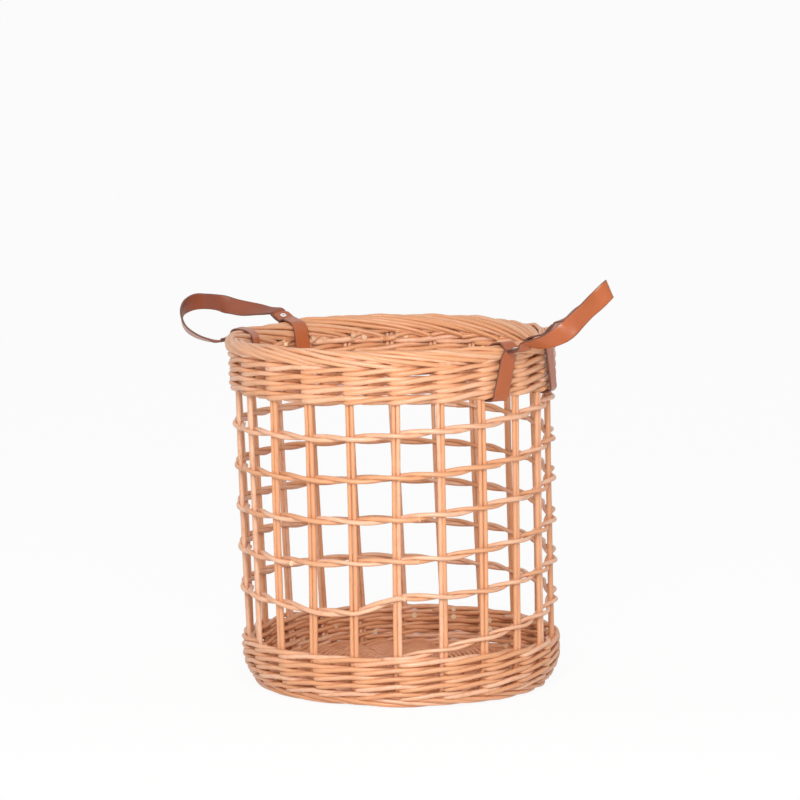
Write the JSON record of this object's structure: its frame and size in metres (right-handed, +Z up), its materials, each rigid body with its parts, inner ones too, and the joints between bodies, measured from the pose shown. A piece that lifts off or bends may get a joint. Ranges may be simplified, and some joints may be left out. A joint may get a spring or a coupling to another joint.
{
  "type": "wicker storage basket",
  "caption": "Round open willow basket with woven bands at rim and base, a see-through stake wall and two leather strap handles that swing at rivets.",
  "frame": {"origin": "on the floor plane under the centre of the base; the woven base's underside is 3 mm above it", "axes": "+Z up; the basket's own axis leans 11 mm from foot to rim, as the pictured one does; +X towards the handle at the right of the picture; +Y away from the viewer's side, so that the two handles lie along X"},
  "size_m": [0.5697, 0.3602, 0.4531],
  "materials": {
    "willow": "peeled buff willow, smooth satin, orange tan",
    "leather": "smooth finished chestnut leather, dark cut edges",
    "rivet_metal": "bright nickel-plated tubular rivets"
  },
  "bodies": {
    "basket": {"base_weave": "willow", "base_sticks": "willow", "foot_border": "willow", "top_wale_band": "willow", "bottom_wale_band": "willow", "rolled_border": "willow", "stake_pair_01": "willow", "stake_pair_02": "willow", "stake_pair_03": "willow", "stake_pair_04": "willow", "stake_pair_05": "willow", "stake_pair_06": "willow", "stake_pair_07": "willow", "stake_pair_08": "willow", "stake_pair_09": "willow", "stake_pair_10": "willow", "stake_pair_11": "willow", "stake_pair_12": "willow", "stake_pair_13": "willow", "stake_pair_14": "willow", "stake_pair_15": "willow", "stake_pair_16": "willow", "stake_pair_17": "willow", "stake_pair_18": "willow", "stake_pair_19": "willow", "stake_pair_20": "willow", "stake_pair_21": "willow", "stake_pair_22": "willow", "fitch_round_1a": "willow", "fitch_round_1b": "willow", "fitch_round_2a": "willow", "fitch_round_2b": "willow", "fitch_round_3a": "willow", "fitch_round_3b": "willow", "fitch_round_4a": "willow", "fitch_round_4b": "willow", "fitch_round_5a": "willow", "fitch_round_5b": "willow", "right_near_strap_loop": "leather", "right_far_strap_loop": "leather", "left_near_strap_loop": "leather", "left_far_strap_loop": "leather", "right_near_rivet": "rivet_metal", "right_far_rivet": "rivet_metal", "left_near_rivet": "rivet_metal", "left_far_rivet": "rivet_metal"},
    "right_handle": {"right_grip_strap": "leather"},
    "left_handle": {"left_grip_strap": "leather"}
  },
  "joints": [
    {"name": "right_handle_hinge", "type": "hinge", "parent": "basket", "child": "right_handle", "pos_m": [0.17355, -0.0117, 0.38525], "axis": [0.0181, -0.9813, -0.1916], "range_deg": [-80, 75]},
    {"name": "left_handle_hinge", "type": "hinge", "parent": "basket", "child": "left_handle", "pos_m": [-0.18951, -0.00201, 0.3785], "axis": [0.0274, 0.9889, 0.1462], "range_deg": [-58, 100]}
  ]
}
